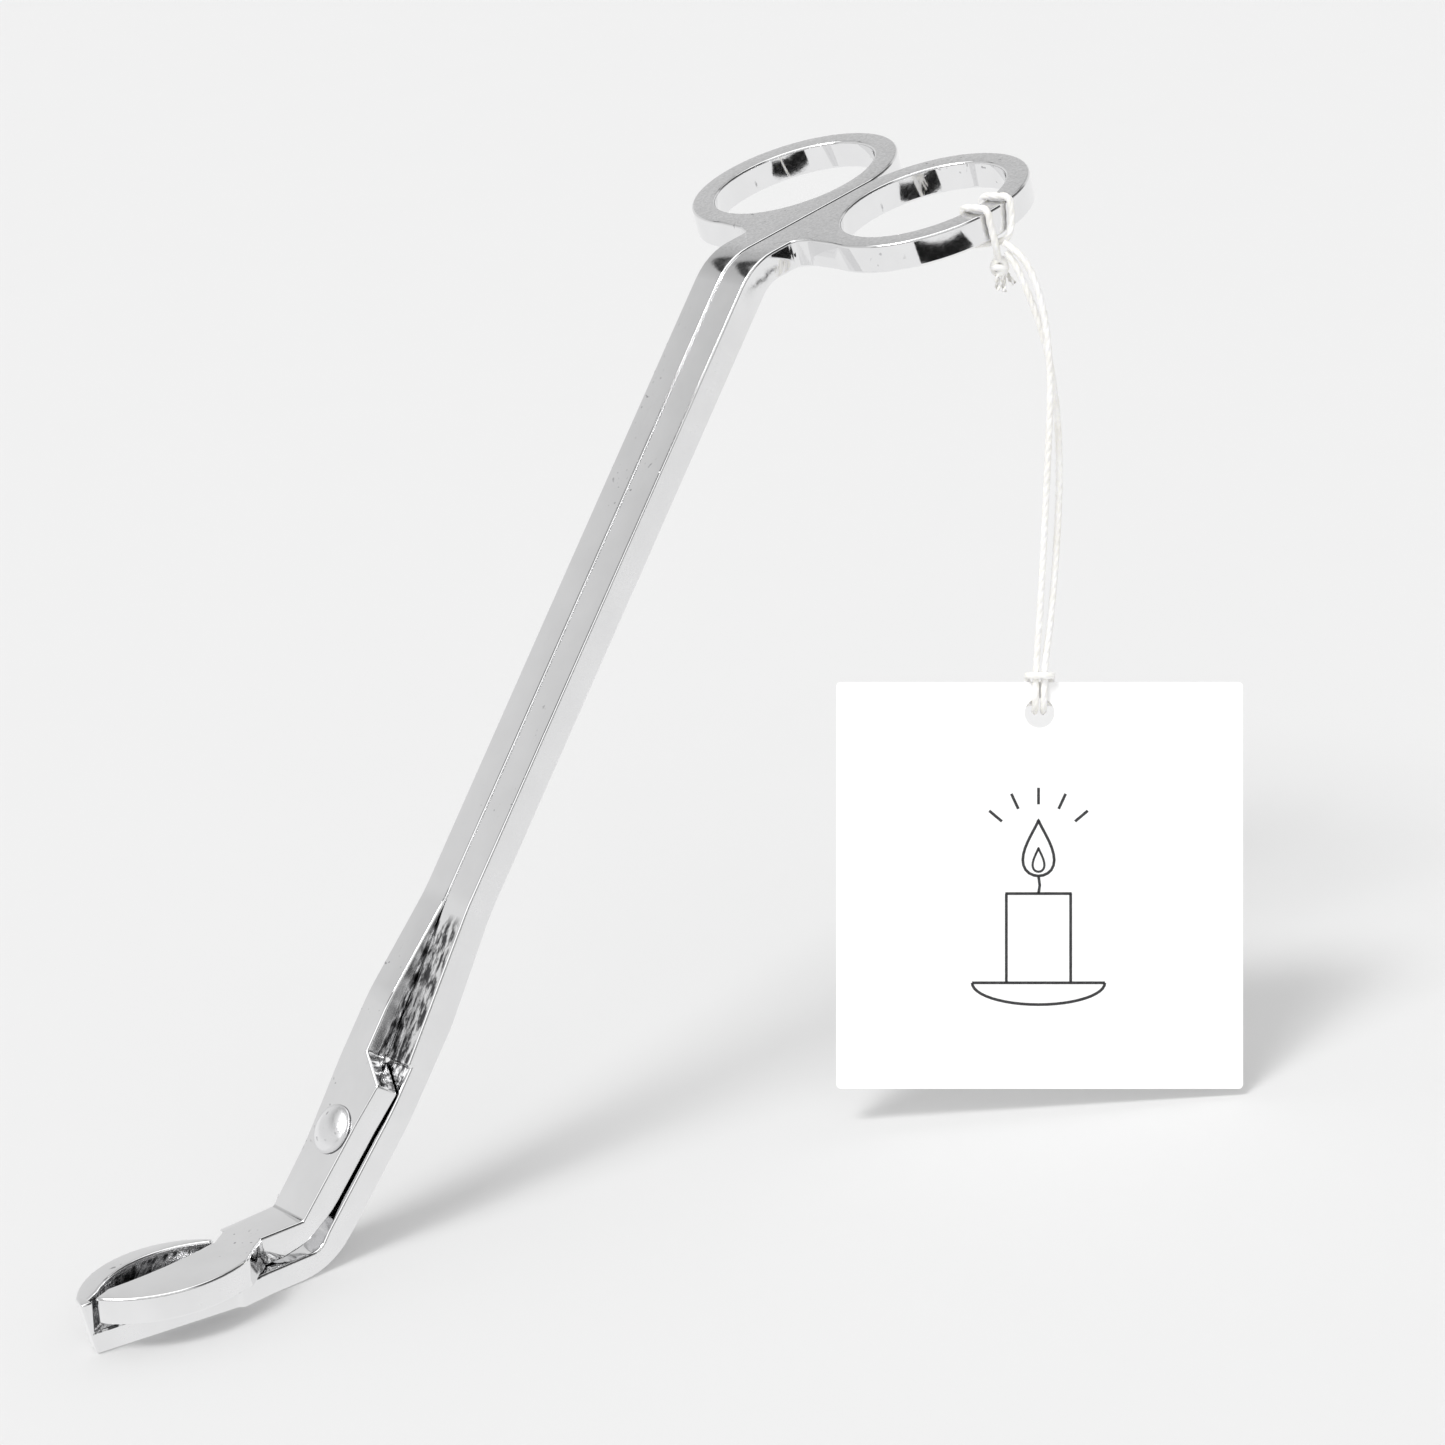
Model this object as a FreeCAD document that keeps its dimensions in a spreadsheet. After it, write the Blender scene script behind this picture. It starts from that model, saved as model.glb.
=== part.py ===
import FreeCAD, Part
import Sketcher
import math
import os

doc = FreeCAD.newDocument("wick_trimmer")
os.makedirs("parts", exist_ok=True)
Vec = FreeCAD.Vector

# The row frame, in millimetres. The origin is the middle of the finger grip, between the two rings.
# X runs level from the head towards the rings, Y to the far ring, Z up. The tray lies level.
# The trimmer is Z-shaped from the side: level head, steep shank, gently pitched handle.

DIMENSIONS = {
    "handle_pitch": (11, "rise of the handle plane"),
    "shank_pitch": (52, "rise of the shank plane"),
    "ring_thick": (3.6, "thickness of the finger rings"),
    "bar_thick": (3.9, "thickness of a shank bar"),
    "bar_width": (4.5, "width of one shank bar"),
    "seam_gap": (0.1, "gap between the closed bars"),
    "elbow_dist": (22, "grip to the elbow's corner, along the handle"),
    "shank_long": (127.7, "elbow's corner to the crease over the neck"),
    "plate_lift": (1.55, "how far the top plate rises over the bars"),
    "plate_gap": (0.3, "gap between the two pivot plates"),
    "ring_across": (24.4, "outside width of a ring"),
    "ring_along": (28.8, "outside length of a ring"),
    "hole_across": (18.2, "width of a finger hole"),
    "hole_along": (22.8, "length of a finger hole"),
    "ring_offset": (12.1, "middle of a ring from the middle plane"),
    "head_deep": (7.2, "whole depth of the closed head"),
    "blade_thick": (3.4, "thickness of the blade"),
    "floor_drop": (4.15, "blade's top to the tray's floor"),
    "dish_deep": (0.9, "depth of the dish in the tray's floor"),
    "pivot_dist": (116.4, "elbow's corner to the rivet, along the shank"),
    "rivet_shank": (4.0, "diameter of the rivet's shank"),
    "rivet_head": (6.2, "diameter of the rivet's domed head"),
    "rivet_dome": (1.1, "height of the rivet's domed head"),
    "bore_clear": (0.15, "clearance of the bore on the rivet"),
    "card_side": (51, "side of the square hang tag"),
    "card_thick": (0.5, "thickness of the hang tag"),
    "card_hole": (3.7, "diameter of the tag's punched hole"),
    "card_hole_drop": (3.9, "tag's top edge to the middle of its hole"),
    "string_thick": (0.9, "diameter of the string"),
}

sheet = doc.addObject("Spreadsheet::Sheet", "dims")
for row, (alias, (value, note)) in enumerate(DIMENSIONS.items(), start=1):
    sheet.set(f"A{row}", alias)
    sheet.set(f"B{row}", str(value))
    sheet.set(f"C{row}", note)
    sheet.setAlias(f"B{row}", alias)
doc.recompute()


def dim(alias):
    """The value of a driving dimension, as the sheet holds it."""
    return float(sheet.get(alias))


# ---- the three planes of the side view ----

PITCH_H = math.radians(dim("handle_pitch"))
PITCH_S = math.radians(dim("shank_pitch"))
ALONG_H = Vec(math.cos(PITCH_H), 0, math.sin(PITCH_H))
ALONG_S = Vec(math.cos(PITCH_S), 0, math.sin(PITCH_S))
OUT_H = Vec(-math.sin(PITCH_H), 0, math.cos(PITCH_H))
OUT_S = Vec(-math.sin(PITCH_S), 0, math.cos(PITCH_S))

ELBOW = ALONG_H * -dim("elbow_dist") + OUT_H * (dim("ring_thick") / 2)
CREASE = ELBOW - ALONG_S * dim("shank_long") + OUT_S * dim("plate_lift")

HANDLE_PLANE = FreeCAD.Placement(Vec(0, 0, 0), FreeCAD.Rotation(Vec(0, 1, 0), -dim("handle_pitch")))
SHANK_PLANE = FreeCAD.Placement(ELBOW, FreeCAD.Rotation(Vec(0, 1, 0), -dim("shank_pitch")))
HEAD_PLANE = FreeCAD.Placement(CREASE, FreeCAD.Rotation())
SIDE_PLANE = FreeCAD.Placement(Vec(0, 0, 0), FreeCAD.Rotation(Vec(1, 0, 0), 90))


def on_handle(along, out):
    """A point of the side view, from the grip along the handle and out of it."""
    point = ALONG_H * along + OUT_H * out
    return (point.x, point.z)


def on_shank(along, out):
    """A point of the side view, from the elbow's corner along the shank and out of it."""
    point = ELBOW + ALONG_S * along + OUT_S * out
    return (point.x, point.z)


def on_head(along, up):
    """A point of the side view, from the crease towards the tip and up."""
    return (CREASE.x - along, CREASE.z + up)


def shank_at_height(out, up):
    """Where the line at that distance out of the shank meets the head's level up."""
    x, z = on_shank(0, out)
    step = (CREASE.z + up - z) / math.sin(PITCH_S)
    return (x + step * math.cos(PITCH_S), CREASE.z + up)


def shank_on_handle(out_s, out_h):
    """Where a line along the shank meets a line along the handle."""
    x, z = on_shank(0, out_s)
    across = OUT_H.x * x + OUT_H.z * z
    step = (out_h - across) / (OUT_H.x * ALONG_S.x + OUT_H.z * ALONG_S.z)
    return (x + step * ALONG_S.x, z + step * ALONG_S.z)


# ---- drawing helpers ----


def outline(corners):
    """A closed outline's lines and tangent arcs. A corner is (x, y) or (x, y, radius)."""
    points = [Vec(c[0], c[1], 0) for c in corners]
    radii = [c[2] if len(c) > 2 else 0 for c in corners]
    edges = []
    ends = []
    for i, corner in enumerate(points):
        back = (points[i - 1] - corner).normalize()
        ahead = (points[(i + 1) % len(points)] - corner).normalize()
        if radii[i] == 0:
            ends.append((corner, corner))
            continue
        half = back.getAngle(ahead) / 2
        reach = radii[i] / math.tan(half)
        first = corner + back * reach
        last = corner + ahead * reach
        middle = (back + ahead).normalize()
        bulge = corner + middle * (radii[i] / math.sin(half) - radii[i])
        ends.append((first, last))
        edges.append(Part.Arc(first, bulge, last))
    for i in range(len(points)):
        start = ends[i][1]
        stop = ends[(i + 1) % len(points)][0]
        if start.distanceToPoint(stop) > 1e-6:
            edges.append(Part.LineSegment(start, stop))
    return edges


def sketch(name, plane, geometry):
    drawn = doc.addObject("Sketcher::SketchObject", name)
    drawn.Placement = plane
    drawn.addGeometry(geometry, False)
    return drawn


def extrusion(name, base, ahead, behind):
    """A solid extrusion along the sketch's normal. ahead and behind are numbers or expressions."""
    made = doc.addObject("Part::Extrusion", name)
    made.Base = base
    made.DirMode = "Normal"
    made.Solid = True
    for prop, value in (("LengthFwd", ahead), ("LengthRev", behind)):
        if isinstance(value, str):
            made.setExpression(prop, value)
        else:
            setattr(made, prop, value)
    return made


def boolean(kind, name, pieces):
    made = doc.addObject(f"Part::Multi{kind}", name)
    made.Shapes = pieces
    return made


def cut(name, base, tool):
    made = doc.addObject("Part::Cut", name)
    made.Base = base
    made.Tool = tool
    return made


# ---- the side views: one strip for each lever ----

BAR = dim("bar_thick")
HALF_RING = dim("ring_thick") / 2
LIFT = dim("plate_lift")
HALF_GAP = dim("plate_gap") / 2
PLATE_MIDDLE = -BAR / 2
ELBOW_OUTSIDE = 9
ELBOW_INSIDE = 4.5
RAMP_TOP = -85.5
RAMP_END = -99.5
LEDGE = -106
LEDGE_STEP = 0.4
RAMP_EASE = 25
INNER_FLOOR = -dim("floor_drop")
HANDLE_STUB = -14

blade_strip_corners = [
    on_handle(HANDLE_STUB, HALF_RING),
    (*on_shank(0, 0), ELBOW_OUTSIDE),
    (*on_shank(RAMP_TOP, 0), RAMP_EASE),
    (*on_shank(RAMP_END, LIFT), RAMP_EASE),
    on_shank(-dim("shank_long"), LIFT),
    on_head(32, 0),
    on_head(32, -dim("blade_thick")),
    on_head(11, -dim("blade_thick")),
    on_head(9.5, -4),
    (*shank_at_height(PLATE_MIDDLE + HALF_GAP, -4), 13),
    on_shank(LEDGE, PLATE_MIDDLE + HALF_GAP),
    on_shank(LEDGE, PLATE_MIDDLE - LEDGE_STEP),
    (*on_shank(RAMP_TOP, -BAR), RAMP_EASE),
    (*shank_on_handle(-BAR, -HALF_RING), ELBOW_INSIDE),
    on_handle(HANDLE_STUB, -HALF_RING),
]

tray_strip_corners = [
    on_handle(HANDLE_STUB, HALF_RING),
    (*on_shank(0, 0), ELBOW_OUTSIDE),
    (*on_shank(RAMP_TOP, 0), RAMP_EASE),
    on_shank(LEDGE, PLATE_MIDDLE + LEDGE_STEP),
    on_shank(LEDGE, PLATE_MIDDLE - HALF_GAP),
    (*shank_at_height(PLATE_MIDDLE - HALF_GAP, INNER_FLOOR), 2.5),
    on_head(8, INNER_FLOOR),
    on_head(8, -dim("head_deep")),
    (*shank_at_height(-BAR - LIFT, -dim("head_deep")), 9.5),
    (*on_shank(RAMP_END, -BAR - LIFT), RAMP_EASE),
    (*on_shank(RAMP_TOP, -BAR), RAMP_EASE),
    (*shank_on_handle(-BAR, -HALF_RING), ELBOW_INSIDE),
    on_handle(HANDLE_STUB, -HALF_RING),
]

blade_strip = extrusion(
    "blade_strip", sketch("blade_side_view", SIDE_PLANE, outline(blade_strip_corners)), 30, 30
)
tray_strip = extrusion(
    "tray_strip", sketch("tray_side_view", SIDE_PLANE, outline(tray_strip_corners)), 30, 30
)

# ---- the plans of the shank and pivot plates, square to the shank ----

BAR_WIDE = dim("bar_width")
SEAM = dim("seam_gap") / 2
ABOVE_ELBOW = 14
NECK_START = -dim("shank_long")
BELOW_CREASE = NECK_START - 5
UNDER_NECK = NECK_START - 14
SHOULDER_TOP = -106.2
SHOULDER_END = -109.5

blade_plan_corners = [
    (ABOVE_ELBOW, SEAM),
    (ABOVE_ELBOW, BAR_WIDE),
    (-108, BAR_WIDE, 30),
    (-119, 3.9, 20),
    (NECK_START, 4.5),
    (BELOW_CREASE, 4.3),
    (BELOW_CREASE, -1.7),
    (NECK_START, -2.1),
    (-115, -3.6, 30),
    (SHOULDER_END, -BAR_WIDE, 0.5),
    (SHOULDER_TOP, SEAM),
]
tray_plan_corners = [
    (ABOVE_ELBOW, -SEAM),
    (ABOVE_ELBOW, -BAR_WIDE),
    (-112, -BAR_WIDE, 40),
    (NECK_START, -2.9),
    (UNDER_NECK, -2.5),
    (UNDER_NECK, 4.1),
    (NECK_START, 4.3),
    (-119, 3.8, 20),
    (SHOULDER_END, BAR_WIDE, 0.5),
    (SHOULDER_TOP, -SEAM),
]

# ---- the plans of the head, from above; x runs towards the rings from the crease ----


def bow(start, middle, stop):
    """An arc through three points."""
    return Part.Arc(Vec(*start, 0), Vec(*middle, 0), Vec(*stop, 0))


def run(*points):
    """Straight lines through the points."""
    return [Part.LineSegment(Vec(*a, 0), Vec(*b, 0)) for a, b in zip(points, points[1:])]


NECK_FAR = (-6.6, 4.0)
NECK_NEAR = (-5.3, -1.2)
CUT_HEEL = (-10.1, 2.0)
CUT_TOE = (-25.2, 1.7)
BLADE_TIP = (-27.6, 0.7)
BLADE_HEEL = (-10.2, -5.2)
BLADE_ROOT = (-7.6, -3.0)
BACK_OF_NECK = 4

blade_head_plan = [
    *run((BACK_OF_NECK, -2.1), (BACK_OF_NECK, 4.5), (0, 4.5), NECK_FAR),
    bow(NECK_FAR, (-8.6, 3.1), CUT_HEEL),
    bow(CUT_HEEL, (-18, 1.3), CUT_TOE),
    *run(CUT_TOE, BLADE_TIP),
    bow(BLADE_TIP, (-19, -5.8), BLADE_HEEL),
    bow(BLADE_HEEL, (-9.1, -4.3), BLADE_ROOT),
    bow(BLADE_ROOT, (-6, -1.9), NECK_NEAR),
    *run(NECK_NEAR, (0, -2.1), (BACK_OF_NECK, -2.1)),
]

# the tray flares from its flat base up to the rim, so its outline is drawn at both levels


def tray_outline(side, mid, tip):
    """The tray's outline: the far side's root, its widest point and the tip set the flare."""
    root = (-9.6, side)
    return [
        *run((-3, -2.5), (-3, 4.1), (-6, 4.1), root),
        bow(root, mid, tip),
        *run(tip, (tip[0] - 0.5, tip[1] - 2.2), (-10.6, -2.3), (-10, -2.9), (-3, -2.5)),
    ]


RIM_TIP = (-29.2, 2.4)
BASE_TIP = (-27.6, 3.2)
tray_top_plan = tray_outline(2.6, (-18.6, 7.8), RIM_TIP)
tray_base_plan = tray_outline(2.6, (-17.6, 6.3), BASE_TIP)

RIM_ROOT = (-10.4, 2.3)
RIM_END = (-26.4, 2.1)
well_plan = [
    *run((2, -12), (2, 8), (-9.4, 8), (-9.4, 3.0), RIM_ROOT),
    bow(RIM_ROOT, (-18, 5.2), RIM_END),
    *run(RIM_END, (-28.2, 1.2), (-28.2, -12), (2, -12)),
]

# ---- the finger rings: a ring plate and the web that joins it to the bar ----


def ring_plate(name, side):
    """One lever's ring, flat in the handle plane. side is 1 for the far ring, -1 for the near."""
    middle = Vec(0, side * dim("ring_offset"), 0)
    oval = Part.Ellipse(middle, dim("ring_along") / 2, dim("ring_across") / 2)
    ring = extrusion(
        f"{name}_oval", sketch(f"{name}_oval_plan", HANDLE_PLANE, [oval]),
        "dims.ring_thick / 2", "dims.ring_thick / 2",
    )
    web_corners = [
        (1, side * SEAM),
        (HANDLE_STUB - 4, side * SEAM),
        (HANDLE_STUB - 4, side * BAR_WIDE),
        (-15.4, side * BAR_WIDE, 0.6),
        (-14.5, side * 6.5, 1.5),
        (-14.2, side * 12),
        (-6, side * 12),
    ]
    web = extrusion(
        f"{name}_web", sketch(f"{name}_web_plan", HANDLE_PLANE, outline(web_corners)),
        "dims.ring_thick / 2", "dims.ring_thick / 2",
    )
    hole_oval = Part.Ellipse(middle, dim("hole_along") / 2, dim("hole_across") / 2)
    hole = extrusion(
        f"{name}_hole", sketch(f"{name}_hole_plan", HANDLE_PLANE, [hole_oval]),
        "dims.ring_thick", "dims.ring_thick",
    )
    half = extrusion(
        f"{name}_half",
        sketch(
            f"{name}_half_plan",
            HANDLE_PLANE,
            outline([(-40, side * SEAM), (-40, side * 40), (40, side * 40), (40, side * SEAM)]),
        ),
        "dims.ring_thick", "dims.ring_thick",
    )
    plate = boolean("Fuse", f"{name}_plate", [ring, web])
    plate = boolean("Common", f"{name}_side", [plate, half])
    return cut(f"{name}_ring", plate, hole)


def bore(name):
    """The rivet's bore through a pivot plate, square to the shank."""
    made = doc.addObject("Part::Cylinder", name)
    made.setExpression("Radius", "dims.rivet_shank / 2 + dims.bore_clear / 2")
    made.Height = 20
    made.Placement = SHANK_PLANE.multiply(
        FreeCAD.Placement(Vec(-dim("pivot_dist"), 0, -12), FreeCAD.Rotation())
    )
    return made


# ---- the blade lever ----

blade_shank = extrusion(
    "blade_shank", sketch("blade_shank_plan", SHANK_PLANE, outline(blade_plan_corners)), 8, 9
)
blade_head = extrusion("blade_head", sketch("blade_head_plan", HEAD_PLANE, blade_head_plan), 1, 6)
blade_plans = boolean("Fuse", "blade_plans", [blade_shank, blade_head])
blade_bar = boolean("Common", "blade_bar", [blade_strip, blade_plans])
blade_whole = boolean("Fuse", "blade_whole", [blade_bar, ring_plate("far", 1)])

# the neck's underside rises towards the far side, so it stays clear of the tray as it turns

RELIEF_RISE = 0.65
NECK_UNDER = -4
FRONT_PLANE = FreeCAD.Placement(
    CREASE + Vec(-9.6, 0, 0), FreeCAD.Rotation(Vec(0, 1, 0), Vec(0, 0, 1), Vec(1, 0, 0), "ZXY")
)
relief_corners = [
    (-0.5, NECK_UNDER),
    (5.2, NECK_UNDER + RELIEF_RISE),
    (5.2, NECK_UNDER - 1),
    (-0.5, NECK_UNDER - 1),
]
neck_relief = extrusion(
    "neck_relief", sketch("neck_relief_view", FRONT_PLANE, outline(relief_corners)), 12, 0
)
blade_clear = cut("blade_clear", blade_whole, neck_relief)
blade_lever = cut("blade_lever", blade_clear, bore("blade_bore"))

# ---- the tray lever ----

tray_shank = extrusion(
    "tray_shank", sketch("tray_shank_plan", SHANK_PLANE, outline(tray_plan_corners)), 9, 14
)
tray_bar = boolean("Common", "tray_bar", [tray_strip, tray_shank])
BASE_PLANE = FreeCAD.Placement(CREASE - Vec(0, 0, dim("head_deep")), FreeCAD.Rotation())
tray_block = doc.addObject("Part::Loft", "tray_block")
tray_block.Sections = [
    sketch("tray_base_plan", BASE_PLANE, tray_base_plan),
    sketch("tray_top_plan", HEAD_PLANE, tray_top_plan),
]
tray_block.Solid = True
tray_block.Ruled = True
FLOOR_PLANE = FreeCAD.Placement(CREASE + Vec(0, 0, INNER_FLOOR), FreeCAD.Rotation())
well = extrusion("tray_well", sketch("tray_well_plan", FLOOR_PLANE, well_plan), 12, 0)
tray_open = cut("tray_open", tray_block, well)
tray_whole = boolean("Fuse", "tray_whole", [tray_bar, tray_open, ring_plate("near", -1)])

# a shallow dish in the tray's floor

dish = doc.addObject("Part::Ellipsoid", "tray_dish")
dish.setExpression("Radius1", "dims.dish_deep")
dish.Radius2 = 7.6
dish.Radius3 = 2.6
dish.Placement = FLOOR_PLANE.multiply(FreeCAD.Placement(Vec(-18.3, 2.0, 0), FreeCAD.Rotation()))
tray_dished = cut("tray_dished", tray_whole, dish)
tray_lever = cut("tray_lever", tray_dished, bore("tray_bore"))


# ---- the rivet: a domed head, a shank through both bores and a formed tail ----

STACK = dim("bar_thick") + 2 * LIFT
HEAD_STEP = 0.25
TAIL_DEEP = 0.7
TAIL_RADIUS = 2.9

rivet_body = doc.addObject("PartDesign::Body", "pivot_rivet")
rivet_axis = [o for o in rivet_body.Origin.OriginFeatures if o.Role == "Z_Axis"][0]
rivet_side = [o for o in rivet_body.Origin.OriginFeatures if o.Role == "XZ_Plane"][0]
profile = rivet_body.newObject("Sketcher::SketchObject", "rivet_profile")
profile.AttachmentSupport = [(rivet_side, "")]
profile.MapMode = "FlatFace"
head_r = dim("rivet_head") / 2
shank_r = dim("rivet_shank") / 2
top = LIFT
base = LIFT - STACK
dome_top = top + dim("rivet_dome")


def cap(radius, level, height):
    """The arc of a spherical cap from the axis to its rim; a negative height bulges downwards."""
    sphere = (radius**2 + height**2) / (2 * abs(height))
    half_turn = math.asin(radius / sphere) / 2
    sign = math.copysign(1, height)
    crown = level + height
    middle = (sphere * math.sin(half_turn), crown - sign * sphere * (1 - math.cos(half_turn)))
    return bow((0, crown), middle, (radius, level))


profile.addGeometry(
    [
        *run((0, base - TAIL_DEEP), (0, dome_top)),
        cap(head_r - 0.25, top + HEAD_STEP, dim("rivet_dome") - HEAD_STEP),
        *run(
            (head_r - 0.25, top + HEAD_STEP),
            (head_r, top + HEAD_STEP),
            (head_r, top),
            (shank_r, top),
            (shank_r, base),
            (TAIL_RADIUS, base),
        ),
        cap(TAIL_RADIUS, base, -TAIL_DEEP),
    ],
    False,
)
doc.recompute()
turned = rivet_body.newObject("PartDesign::Revolution", "rivet_turned")
turned.Profile = profile
turned.ReferenceAxis = (rivet_axis, [""])
turned.Angle = 360
rivet_body.Placement = SHANK_PLANE.multiply(
    FreeCAD.Placement(Vec(-dim("pivot_dist"), 0, 0), FreeCAD.Rotation())
)

# ---- the hang tag: a square card that faces the viewer, punched near its top edge ----

CARD_RIGHT = Vec(0.7618, -0.6418, -0.0881)
CARD_UP = Vec(0.2829, 0.2072, 0.9365)
CARD_OUT = CARD_RIGHT.cross(CARD_UP)
TAG_HOLE = Vec(-1.11, -27.72, -62.13)
TAG_PLANE = FreeCAD.Placement(TAG_HOLE, FreeCAD.Rotation(CARD_RIGHT, CARD_UP, CARD_OUT, "ZXY"))

card_body = doc.addObject("PartDesign::Body", "tag_card")
card_plane = [o for o in card_body.Origin.OriginFeatures if o.Role == "XY_Plane"][0]
card_plan = card_body.newObject("Sketcher::SketchObject", "card_plan")
card_plan.AttachmentSupport = [(card_plane, "")]
card_plan.MapMode = "FlatFace"
half_card = dim("card_side") / 2
top_edge = dim("card_hole_drop")
card_corner = 0.6
card_plan.addGeometry(
    outline(
        [
            (-half_card, top_edge, card_corner),
            (half_card, top_edge, card_corner),
            (half_card, top_edge - 2 * half_card, card_corner),
            (-half_card, top_edge - 2 * half_card, card_corner),
        ]
    ),
    False,
)
card_pad = card_body.newObject("PartDesign::Pad", "card_pad")
card_pad.Profile = card_plan
card_pad.setExpression("Length", "dims.card_thick")
card_pad.Midplane = True
doc.recompute()
card_punch = card_body.newObject("Sketcher::SketchObject", "card_punch")
card_punch.AttachmentSupport = [(card_plane, "")]
card_punch.MapMode = "FlatFace"
card_punch.addGeometry(Part.Circle(Vec(0, 0, 0), Vec(0, 0, 1), dim("card_hole") / 2), False)
punch_size = card_punch.addConstraint(Sketcher.Constraint("Diameter", 0, dim("card_hole")))
card_punch.setExpression(f"Constraints[{punch_size}]", "dims.card_hole")
card_hole = card_body.newObject("PartDesign::Pocket", "card_hole")
card_hole.Profile = card_punch
card_hole.Type = "ThroughAll"
card_hole.Midplane = True
card_body.Placement = TAG_PLANE

# ---- the string: plain tubes along straight runs joined by arcs ----


def route_edges(points):
    """Straight runs joined by arcs that reach 0.45 of the shorter run from each corner."""
    spots = [Vec(*p) for p in points]
    edges = []
    radii = []
    last = spots[0]
    for a, b, c in zip(spots, spots[1:], spots[2:]):
        back = a - b
        ahead = c - b
        reach = 0.45 * min(back.Length, ahead.Length)
        back.normalize()
        ahead.normalize()
        half = back.getAngle(ahead) / 2
        radius = reach * math.tan(half)
        middle = (back + ahead).normalize()
        first = b + back * reach
        bulge = b + middle * (reach / math.cos(half) - radius)
        after = b + ahead * reach
        edges.append(Part.LineSegment(last, first))
        edges.append(Part.Arc(first, bulge, after))
        radii.append(round(radius, 2))
        last = after
    edges.append(Part.LineSegment(last, spots[-1]))
    return edges, radii


def tube(name, points):
    """A round cord along the route, as a sweep of a circle."""
    edges, radii = route_edges(points)
    path = doc.addObject("Part::Feature", f"{name}_path")
    path.Shape = Part.Wire([e.toShape() for e in edges])
    ring = doc.addObject("Part::Circle", f"{name}_section")
    ring.setExpression("Radius", "dims.string_thick / 2")
    along = Vec(*points[1]) - Vec(*points[0])
    ring.Placement = FreeCAD.Placement(Vec(*points[0]), FreeCAD.Rotation(Vec(0, 0, 1), along))
    made = doc.addObject("Part::Sweep", name)
    made.Sections = [ring]
    made.Spine = (path, [f"Edge{i + 1}" for i in range(len(edges))])
    made.Solid = True
    made.Frenet = False
    doc.recompute()
    ideal = math.pi * (dim("string_thick") / 2) ** 2 * path.Shape.Length
    share = round(made.Shape.Volume / ideal, 3)
    print(name, "length", round(path.Shape.Length, 1), "volume share", share, "radii", radii)
    return made


def on_tag(x, y, z):
    """A point of the row frame, from the tag's hole: right, up and out of the card."""
    point = TAG_HOLE + CARD_RIGHT * x + CARD_UP * y + CARD_OUT * z
    return (point.x, point.y, point.z)


# two wraps round the near ring, from the knot up its outside and over

HITCH_ROUTE = [
    (0.5, -23.95, -4.4),
    (-0.1, -24.55, -3.4),
    (-0.7, -24.95, -2.2),
    (-1.0, -24.9, -0.8),
    (-1.25, -24.85, 0.6),
    (-1.45, -24.85, 1.85),
    (-1.6, -24.35, 2.25),
    (-1.7, -23.3, 2.2),
    (-1.75, -22.1, 2.1),
    (-1.75, -21.1, 2.0),
    (-1.7, -20.6, 1.6),
    (-1.6, -20.6, 0.4),
    (-1.4, -20.6, -1.0),
    (-1.2, -20.65, -2.4),
    (-0.9, -21.15, -2.8),
    (-0.3, -22.2, -2.7),
    (0.5, -23.4, -2.55),
    (1.3, -24.35, -2.4),
    (1.9, -24.8, -1.75),
    (2.4, -24.8, -0.4),
    (2.5, -24.75, 1.1),
    (2.45, -24.7, 2.5),
    (2.3, -24.2, 2.95),
    (2.1, -23.2, 2.85),
    (1.9, -22.1, 2.8),
    (1.75, -21.1, 2.7),
    (1.6, -20.6, 2.3),
    (1.5, -20.55, 1.1),
    (1.45, -20.55, -0.4),
    (1.4, -20.65, -1.85),
    (1.45, -21.1, -2.3),
    (1.5, -22.0, -2.35),
]
NEAR_STRAND_ROUTE = [
    (0.2, -25.5, -2.2),
    (0.9, -26.9, -3.2),
    (1.75, -28.1, -5.3),
    (2.5, -28.85, -8.8),
    (2.95, -29.3, -13.8),
    (2.85, -29.35, -20.2),
    (2.25, -28.9, -28.0),
    (1.45, -28.2, -37.7),
    (0.7, -27.5, -47.1),
    on_tag(-0.52, 5.6, 0.75),
    on_tag(-0.52, 1.0, 0.85),
    on_tag(-0.52, 0.2, -1.0),
]
FAR_STRAND_ROUTE = [
    (0.75, -25.3, -3.5),
    (1.1, -26.3, -4.9),
    (1.9, -27.0, -7.9),
    (3.15, -27.8, -12.6),
    (4.1, -28.4, -18.7),
    (4.35, -28.7, -25.8),
    (3.95, -28.6, -34.0),
    (2.95, -28.15, -43.0),
    (1.8, -27.7, -51.0),
    on_tag(0.52, 5.6, 0.75),
    on_tag(0.52, 1.0, 0.85),
    on_tag(0.52, 0.2, -1.0),
]
BAND_ROUTE = [
    on_tag(-1.15, 0.9, -0.75),
    on_tag(-1.5, 3.0, -0.75),
    on_tag(-1.55, 4.7, -0.65),
    on_tag(-1.5, 4.7, 1.72),
    on_tag(1.5, 4.7, 1.72),
    on_tag(1.55, 4.7, -0.65),
    on_tag(1.5, 3.0, -0.75),
    on_tag(1.15, 0.9, -0.75),
]

string_hitch = tube("string_hitch", HITCH_ROUTE)
near_strand = tube("string_near", NEAR_STRAND_ROUTE)
far_strand = tube("string_far", FAR_STRAND_ROUTE)
tag_band = tube("tag_band", BAND_ROUTE)

knot = doc.addObject("Part::Ellipsoid", "string_knot")
knot.Radius1 = 1.0
knot.Radius2 = 1.35
knot.Radius3 = 1.1
knot.Placement = FreeCAD.Placement(Vec(0.86, -23.8, -5.53), FreeCAD.Rotation(Vec(0, 1, 0), 20))

# ---- checks and files ----

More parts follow.
